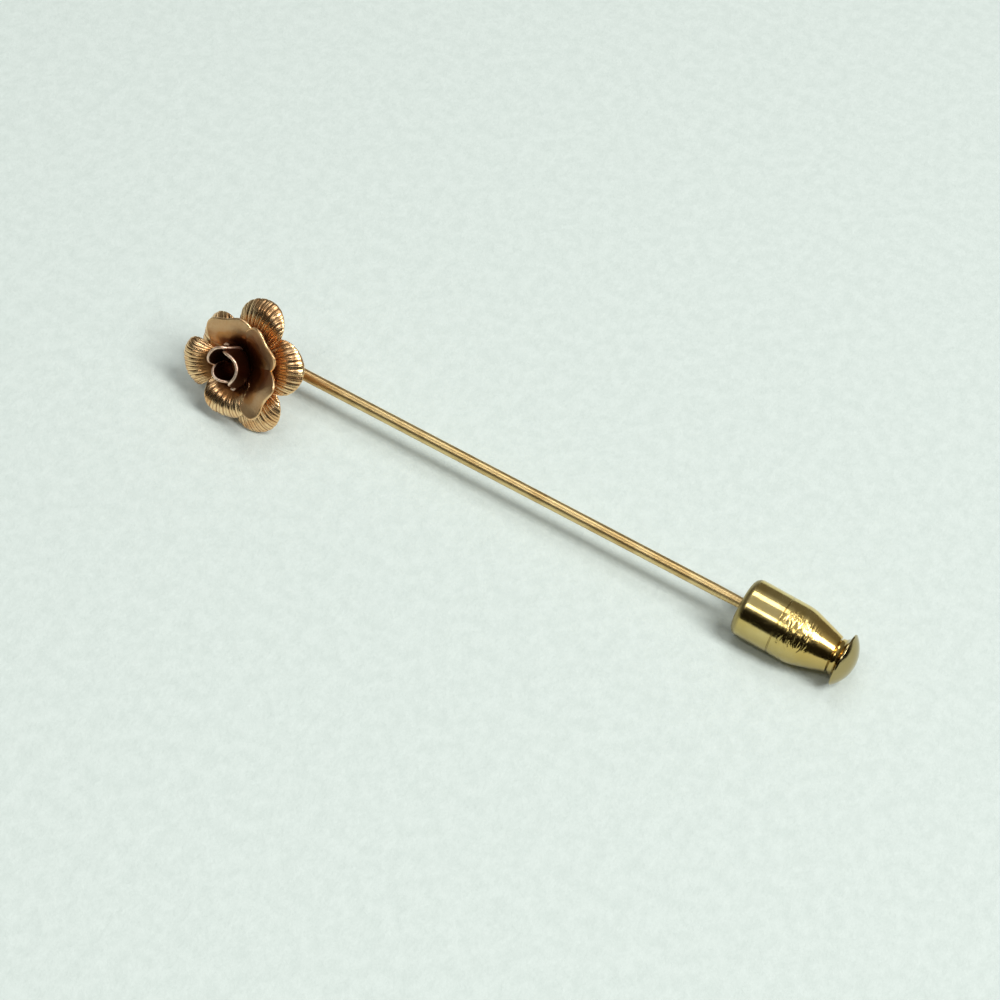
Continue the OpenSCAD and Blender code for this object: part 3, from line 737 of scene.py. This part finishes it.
# %% A small language for shaders
class Pattern:
    """A value inside a material that can be added, multiplied and so on."""

    def __init__(self, tree, socket=None):
        self.tree, self.socket = tree, socket

    def node(self, kind, settings=(), inputs=(), output=0):
        """Makes a node, sets its settings, then its inputs, and gives one output."""
        made = self.tree.nodes.new(kind)
        for key, value in dict(settings).items():
            setattr(made, key, value)
        for key, value in dict(inputs).items():
            if isinstance(value, Pattern):
                self.tree.links.new(value.socket, made.inputs[key])
            else:
                made.inputs[key].default_value = value
        return Pattern(self.tree, made.outputs[output])

    def sum(self, operation, a, b=0.0):
        """One Math node over two values."""
        return self.node("ShaderNodeMath", {"operation": operation}, {0: a, 1: b})

    def __add__(self, other):
        return self.sum("ADD", self, other)

    def __radd__(self, other):
        return self.sum("ADD", other, self)

    def __sub__(self, other):
        return self.sum("SUBTRACT", self, other)

    def __rsub__(self, other):
        return self.sum("SUBTRACT", other, self)

    def __mul__(self, other):
        return self.sum("MULTIPLY", self, other)

    def __rmul__(self, other):
        return self.sum("MULTIPLY", other, self)

    def __abs__(self):
        return self.sum("ABSOLUTE", self)

    def between(self, start, end):
        """0 where this is below start, 1 where it is above end, smooth between."""
        return self.node("ShaderNodeMapRange", {"interpolation_type": "SMOOTHSTEP"},
                         {"Value": self, "From Min": start, "From Max": end})

    def scaled(self, by):
        """A vector times a number, or times another vector part by part."""
        by = (by, by, by) if isinstance(by, (int, float)) else by
        return self.node("ShaderNodeVectorMath", {"operation": "MULTIPLY"}, {0: self, 1: by})

    def part(self, axis):
        """One part of a vector."""
        return self.node("ShaderNodeSeparateXYZ", (), {0: self}, axis)

    def noise(self, scale, detail=2.0, roughness=0.5, distortion=0.0):
        """Cloudy noise from 0 to 1 over a vector."""
        return self.node("ShaderNodeTexNoise", (), {
            "Vector": self, "Scale": scale, "Detail": detail, "Roughness": roughness,
            "Distortion": distortion}, "Fac")

    def blend(self, first, second):
        """The first colour where this is 0 and the second where it is 1."""
        colours = {place: colour if isinstance(colour, Pattern) else (*colour, 1)
                   for place, colour in ((6, first), (7, second))}
        return self.node("ShaderNodeMix", {"data_type": "RGBA"}, {0: self, **colours}, 2)


print("a pattern has", sorted(name for name in vars(Pattern) if not name.startswith("_")))

# %% [markdown]
# ## One way to make a metal
# Every finish of the pin is a coat of metal whose colour, gloss and fine relief change from
# place to place. Each material could be laid out on its own. They differ only in those three
# patterns, so one function builds the shader and takes a recipe that gives the three. The
# patterns read a piece's own marks, or its place, so they stay on it when it moves.

# %% Materials and what they read
def vector(start, x, y, z):
    """Three numbers or patterns as one vector."""
    return start.node("ShaderNodeCombineXYZ", (), {"X": x, "Y": y, "Z": z})


def marks_of(start, name):
    """The marks that a piece keeps at its points under a name, as a vector."""
    return start.node("ShaderNodeAttribute", {"attribute_name": name}, (), "Vector")


def place_mm(start):
    """Where a point is on the object, in mm."""
    return start.node("ShaderNodeTexCoord", (), (), "Object").scaled(1 / MM)


def new_material(name, recipe, **uniform):
    """A material whose recipe gives its colour, roughness and relief in mm."""
    material = bpy.data.materials.new(name)
    material.use_nodes = True
    tree = material.node_tree
    tree.nodes.clear()
    start = Pattern(tree)
    colour, roughness, relief = recipe(start)
    bump = start.node("ShaderNodeBump", (), {"Height": relief, "Distance": MM, "Strength": 1.0})
    shader = start.node("ShaderNodeBsdfPrincipled", (), {
        "Base Color": colour, "Roughness": roughness, "Normal": bump, **uniform})
    end = tree.nodes.new("ShaderNodeOutputMaterial")
    tree.links.new(shader.socket, end.inputs["Surface"])
    print("material", name, "has", len(tree.nodes), "nodes")
    return material


# %% [markdown]
# ## Rose gold petals
# The petals are plated a warm, peachy gold. Polish reaches the crests of the ribs and the rims,
# which are brighter and smoother. The grooves keep thin dark lines, and the die also scored a
# finer line down each rib. Towards the roots the colour turns through a warm orange, which is
# painted reflected light, to a dark brown, which is partly tarnish, where no cloth gets to, and
# partly painted shade in the hollow of the rose. It is nearly black in the bud, where only the
# rims still shine. The plain faces of the three upright inner petals are browned with painted
# shade. This could be painted by hand, but a recipe that reads a petal's own marks, its reach,
# its rib and how far the rim is, puts the darkening in the same places on every petal.

# %% Petal and bud metal
# Brown of the painted shade on the plain, upright inner faces.
PLAIN_SHADE_BROWN = (0.50, 0.29, 0.15)


def petal_recipe(bright, deep, warm_reflection_and_mottle, tarnish_and_shade, darkening_ends_from, darkening_ends_to, plain_shade):
    """Petal metal that is darkened by tarnish and painted shade up to one share of the reach and
    clear from another.

    The last argument says how brown the plain faces are, which is painted shade on the upright
    inner petals. They are also rougher, being less polished than the ribs.
    """
    def recipe(start):
        leaf, kind = marks_of(start, "leaf"), marks_of(start, "kind")
        reach, phase, rim = (leaf.part(i) for i in range(3))
        ribbed, tone = kind.part(0), kind.part(1)
        place = place_mm(start)
        cloud = place.noise(0.9, 3, 0.55)
        grain = place.noise(7, 3, 0.6)
        in_ribs = ribbed * reach.between(0.42, 0.66)
        wave = abs(start.sum("SINE", phase * (math.pi / 2)))
        groove = (1 - wave.between(0.0, 0.42)) * in_ribs
        score = wave.between(0.93, 1.0) * in_ribs
        lines = vector(start, phase * 3.1, reach * 0.9, tone * 40).noise(1.6, 3, 0.6)
        scratched = lines.between(0.55, 0.75) * in_ribs * 0.4
        lined = start.sum("MINIMUM", groove * 0.9 + score * 0.45 + scratched, 1.0)
        worn = (1 - rim.between(0.03, 0.2)) * reach.between(0.62, 0.86)
        # Darker towards the roots: partly tarnish, partly painted shade in the hollow of the
        # rose.
        out_of_hollow = reach + 0.25 * (cloud - 0.5) - 0.1 * (1 - ribbed)
        tarnished_and_shaded = 1 - out_of_hollow.between(darkening_ends_from, darkening_ends_to)
        mottled = (1 - ribbed) * grain.between(0.5, 0.7) * 0.3
        colour = cloud.between(0.35, 0.7).blend(bright, deep)
        # Plain faces browned: painted shade, as they stand upright in the cup of the rose.
        colour = ((1 - ribbed) * plain_shade * (1 - worn)).blend(colour, PLAIN_SHADE_BROWN)
        # The warm orange near the roots is painted reflected light between the petals. On plain
        # faces the same colour also gives a random mottle.
        colour = (mottled + tarnished_and_shaded.between(0.0, 0.35) * 0.9 * (1 - worn)).blend(colour, warm_reflection_and_mottle)
        colour = (lined * (1 - worn)).blend(colour, tarnish_and_shade)
        # Tarnish and painted shade take over towards the roots, except on the worn rims.
        colour = (tarnished_and_shaded.between(0.3, 1.0) * (1 - worn)).blend(colour, tarnish_and_shade)
        roughness = (0.25 + 0.1 * (1 - ribbed) + 0.12 * tarnished_and_shaded + 0.12 * (grain - 0.5)
                     + 0.08 * lined - 0.05 * worn)
        dents = (grain - 0.5) * (0.005 + 0.02 * (1 - ribbed)) + (cloud - 0.5) * 0.035
        relief = (lines - 0.5) * 0.009 - score * 0.012 + dents
        return colour, roughness, relief
    return recipe


petal_metal = new_material("rose_gold_ribbed", petal_recipe(
    bright=(0.96, 0.67, 0.36), deep=(0.82, 0.47, 0.21), warm_reflection_and_mottle=(0.55, 0.25, 0.08),
    tarnish_and_shade=(0.19, 0.055, 0.014), darkening_ends_from=0.25, darkening_ends_to=0.68, plain_shade=0.75), Metallic=1.0)
# In the bud the darkening reaches almost to the rims: painted shade in its hollow, with some
# tarnish.
bud_metal = new_material("rose_gold_plain", petal_recipe(
    bright=(0.95, 0.74, 0.58), deep=(0.80, 0.52, 0.36), warm_reflection_and_mottle=(0.30, 0.13, 0.06),
    tarnish_and_shade=(0.07, 0.02, 0.008), darkening_ends_from=0.75, darkening_ends_to=1.1, plain_shade=0.0), Metallic=1.0)
outer.data.materials.append(petal_metal)
inner.data.materials.append(petal_metal)
bud.data.materials.append(bud_metal)

# %% [markdown]
# ## Yellow gold wire
# The wire was drawn through a die, which leaves faint lines along it. Near the rose its gold
# is more coppery, and just before the clutch it has rings, where the clutch has gripped it.
# Fine lines could be modelled, but they are far thinner than a step of the grid. A noise
# that is stretched along the wire gives them, and the length from the head places the rest.

# %% Wire metal
GRIP_FROM, GRIP_TO = 4.2, 1.5
COPPER_FROM, COPPER_TO = 2, 13


def wire_recipe(start):
    """Drawn metal: coppery near the rose, ringed where the clutch has gripped it."""
    length = marks_of(start, "wire").part(0)
    place = place_mm(start)
    drawn = place.scaled((0.12, 5.0, 5.0)).noise(1.5, 3, 0.6)
    cloud = place.noise(0.5, 3, 0.5)
    rings = start.sum("SINE", length * 21 + cloud * 9)
    gripped = length.between(thin_at - GRIP_FROM, thin_at - GRIP_TO)
    coppery = 1 - (length + cloud * 6).between(level_from + COPPER_FROM, level_from + COPPER_TO)
    colour = cloud.between(0.4, 0.65).blend((0.76, 0.57, 0.27), (0.62, 0.43, 0.18))
    colour = (coppery * 0.7).blend(colour, (0.66, 0.34, 0.14))
    colour = (gripped * (0.5 + 0.5 * rings) * 0.25).blend(colour, (0.45, 0.25, 0.08))
    roughness = 0.33 + 0.08 * drawn + 0.05 * gripped
    relief = (drawn - 0.5) * 0.002 + rings * gripped * 0.002
    return colour, roughness, relief


wire.data.materials.append(new_material("yellow_gold_drawn", wire_recipe, Metallic=1.0))

# %% [markdown]
# ## Yellow gold clutch
# The clutch was turned, so its fine lines run round it, and it is plated and polished bright.
# The gold is more amber towards the neck. It is duller round the mouth and in the groove. Along
# the underside and on the dome it is darker: a painted reflection of the shadowed floor below and
# of the dark room. The side that is seen has a ripple on the taper, as from a chattering tool.
# The ripple could be cut into the mesh. It is shallower than one face is wide, so a bump draws it
# better. It fades out round the far side.

# %% Clutch metal
RIPPLE_H = 0.15


def clutch_recipe(start):
    """Turned metal: amber towards the neck, duller at the mouth, darker below and on the dome
    with a painted reflection of shade, rippled in front.
    """
    turned = marks_of(start, "turned")
    along, up, over = (turned.part(i) for i in range(3))
    near_side = (over * -1).between(-0.6, 0.6)
    # Painted shade: the lower flank is darkened to stand for the shadowed floor that it mirrors.
    painted_shade_below = (up * -1).between(-1.7, 0.2)
    cloud = turned.noise(0.5, 3, 0.5)
    lines = vector(start, along * 9.0, cloud * 0.6, 0.0).noise(2.0, 3, 0.65)
    taper = (along.between(GROOVE_AT + 0.1, GROOVE_AT + 0.5)
             * (1 - along.between(BARREL_LENGTH - 2.6, BARREL_LENGTH - 0.8)))
    ripple = turned.scaled((3.0, 0.7, 0.7)).noise(1.0, 3, 0.5, 1.0)
    fleck = turned.noise(3.5, 2, 0.6)
    mouth = 1 - along.between(MOUTH_ROUND * 0.55, MOUTH_ROUND * 0.95)
    groove = 1 - abs(along - GROOVE_AT).between(0.03, 0.11)
    # The flange and dome are given a darker colour: a painted reflection of the dark room they
    # face.
    end = along.between(FLANGE_AT + 0.2, FLANGE_AT + 0.5)
    colour = cloud.between(0.35, 0.7).blend((0.84, 0.66, 0.27), (0.72, 0.53, 0.17))
    colour = (along.between(GROOVE_AT, BARREL_LENGTH) * 0.6).blend(colour, (0.80, 0.50, 0.12))
    # Painted dark reflection on the flange and dome.
    colour = end.blend(colour, (0.42, 0.33, 0.15))
    # Painted reflection of the shadowed floor on the lower flank.
    colour = (painted_shade_below * (1 - end) * 0.8).blend(colour, (0.36, 0.28, 0.11))
    colour = (fleck.between(0.62, 0.8) * 0.25).blend(colour, (0.50, 0.34, 0.12))
    colour = (mouth * 0.75).blend(colour, (0.30, 0.24, 0.11))
    colour = (groove * 0.35).blend(colour, (0.16, 0.11, 0.04))
    roughness = 0.11 + 0.07 * lines + 0.1 * fleck.between(0.5, 0.8) + 0.22 * mouth
    relief = ((lines - 0.5) * 0.002 + (ripple - 0.5) * taper * near_side * RIPPLE_H
              + (cloud - 0.5) * 0.02)
    return colour, roughness, relief


clutch_metal = new_material("yellow_gold_turned", clutch_recipe, Metallic=1.0)
barrel.data.materials.append(clutch_metal)
plunger.data.materials.append(clutch_metal)

# %% [markdown]
# ## The table
# The pin lies on a pale greenish card with a fine grain. A grid with displacement could
# carry the grain, but it is far finer than the pin, so one large square with a bump is
# enough. It is stage and no part of the pin.

# %% The table
TABLE_HALF = 2.0
table_corners = [(x * TABLE_HALF, y * TABLE_HALF, 0)
                 for x, y in ((-1, -1), (1, -1), (1, 1), (-1, 1))]
table_mesh = bpy.data.meshes.new("table_top")
table_mesh.from_pydata(table_corners, [], [(0, 1, 2, 3)])
table = bpy.data.objects.new("table_top", table_mesh)
bpy.context.scene.collection.objects.link(table)


def table_recipe(start):
    """Pale card: a slow mottle in the colour, and a fine grain in the relief."""
    place = place_mm(start)
    grain = place.noise(0.8, 5, 0.65)
    speck = place.noise(2.2, 4, 0.6)
    colour = grain.between(0.3, 0.7).blend((0.70, 0.79, 0.745), (0.76, 0.85, 0.805))
    return colour, 0.9, (speck - 0.5) * 0.06 + (grain - 0.5) * 0.05


table.data.materials.append(new_material("pale_card", table_recipe))

# %% [markdown]
# ## The room
# Polished metal shows what is round it, so the room matters more than the paint. Real walls
# could be built, or a picture of a studio used. A few blended greys that depend on the
# direction do as well and are easy to change: a dark side gives the metal its deep bands, a
# dim wall behind softens them, and a pale ceiling fills the shadows.

# %% The room
world = bpy.data.worlds.new("soft_room")
bpy.context.scene.world = world
world.use_nodes = True
room = Pattern(world.node_tree)
world.node_tree.nodes.clear()
direction = room.node("ShaderNodeTexCoord", (), (), "Generated")
behind = direction.part(1) * 0.91 - direction.part(0) * 0.42
wall = behind.between(-0.1, 0.4).blend((0.008, 0.007, 0.005), (0.15, 0.145, 0.13))
sky = direction.part(2).between(0.62, 0.9).blend(wall, (0.40, 0.41, 0.42))
background = room.node("ShaderNodeBackground", (), {"Color": sky, "Strength": 1.0})
world_end = world.node_tree.nodes.new("ShaderNodeOutputWorld")
world.node_tree.links.new(background.socket, world_end.inputs["Surface"])
bpy.context.scene.view_settings.view_transform = "Standard"
print("the room has", len(world.node_tree.nodes), "nodes")

# %% [markdown]
# ## The panels
# In a studio a large soft lamp lights the table and smaller ones draw streaks in the metal.
# Point lamps would give hard shadows and small highlights. Here a main panel stands high
# beyond the clutch, and two strips lie along the pin, so that the wire and the barrel show
# long bright lines. A panel's power is worked out from how bright its face should look.

# %% The light
def add_panel(name, direction, distance, size, radiance, colour):
    """A soft panel that lies along X in a direction from the pin, and how bright it looks.

    Its power is pi times the radiance times its area.
    """
    light = bpy.data.lights.new(name, "AREA")
    light.shape, light.size, light.size_y = "RECTANGLE", size[0], size[1]
    light.energy, light.color = math.pi * radiance * size[0] * size[1], colour
    lamp = bpy.data.objects.new(name, light)
    away = Vector(direction).normalized()
    along = Vector((1, 0, 0))
    along = (along - along.dot(away) * away).normalized()
    lamp.matrix_world = Matrix((along, away.cross(along), away)).transposed().to_4x4()
    lamp.location = distance * away
    bpy.context.scene.collection.objects.link(lamp)
    print(name, "gives", round(light.energy, 3), "W")


add_panel("far_strip", (-0.20, 0.34, 0.91), 0.4, (0.17, 0.12), 3.4, (1.0, 0.99, 0.97))
add_panel("near_strip", (-0.16, -0.50, 0.83), 0.4, (0.24, 0.065), 3.8, (1.0, 0.98, 0.95))
add_panel("main_panel", (0.58, -0.04, 0.81), 0.9, (0.62, 0.26), 12.8, (1.0, 0.99, 0.98))

# %% [markdown]
# ## The camera
# The camera looks down on the pin from the front and a little from the right, and is tilted,
# so that the pin crosses the picture. It could be aimed with a Track To constraint, which
# can't hold a tilt. So its three axes are worked out from a yaw, a rise and a roll, and put
# straight into its matrix.

# %% The camera
VIEW_YAW, VIEW_RISE, VIEW_ROLL = math.radians(24.964), math.radians(50.5), math.radians(-8)
VIEW_DISTANCE = 0.2
AIM_BEFORE_MOUTH, AIM_BEFORE_WIRE = 22.462, 0.090
LENS, SENSOR = 86.4, 36
c, s = math.cos(VIEW_YAW), math.sin(VIEW_YAW)
right = np.array([c, s, 0])
top = np.array([-s * math.sin(VIEW_RISE), c * math.sin(VIEW_RISE), math.cos(VIEW_RISE)])
back = np.cross(right, top)
image_right = math.cos(VIEW_ROLL) * right - math.sin(VIEW_ROLL) * top
image_up = math.sin(VIEW_ROLL) * right + math.cos(VIEW_ROLL) * top
aim = np.array([clutch_mouth[0] - AIM_BEFORE_MOUTH, wire_start[1] - AIM_BEFORE_WIRE, 0]) * MM
camera_data = bpy.data.cameras.new("photo_view")
camera_data.lens, camera_data.sensor_width = LENS, SENSOR
camera_data.clip_start, camera_data.clip_end = 0.01, 5
camera = bpy.data.objects.new("photo_view", camera_data)
bpy.context.scene.collection.objects.link(camera)
place = np.eye(4)
place[:3, 0], place[:3, 1], place[:3, 2] = image_right, image_up, back
place[:3, 3] = aim + VIEW_DISTANCE * back
camera.matrix_world = Matrix(place.tolist())
bpy.context.scene.camera = camera
print("camera at", place[:3, 3].round(4))

# %% [markdown]
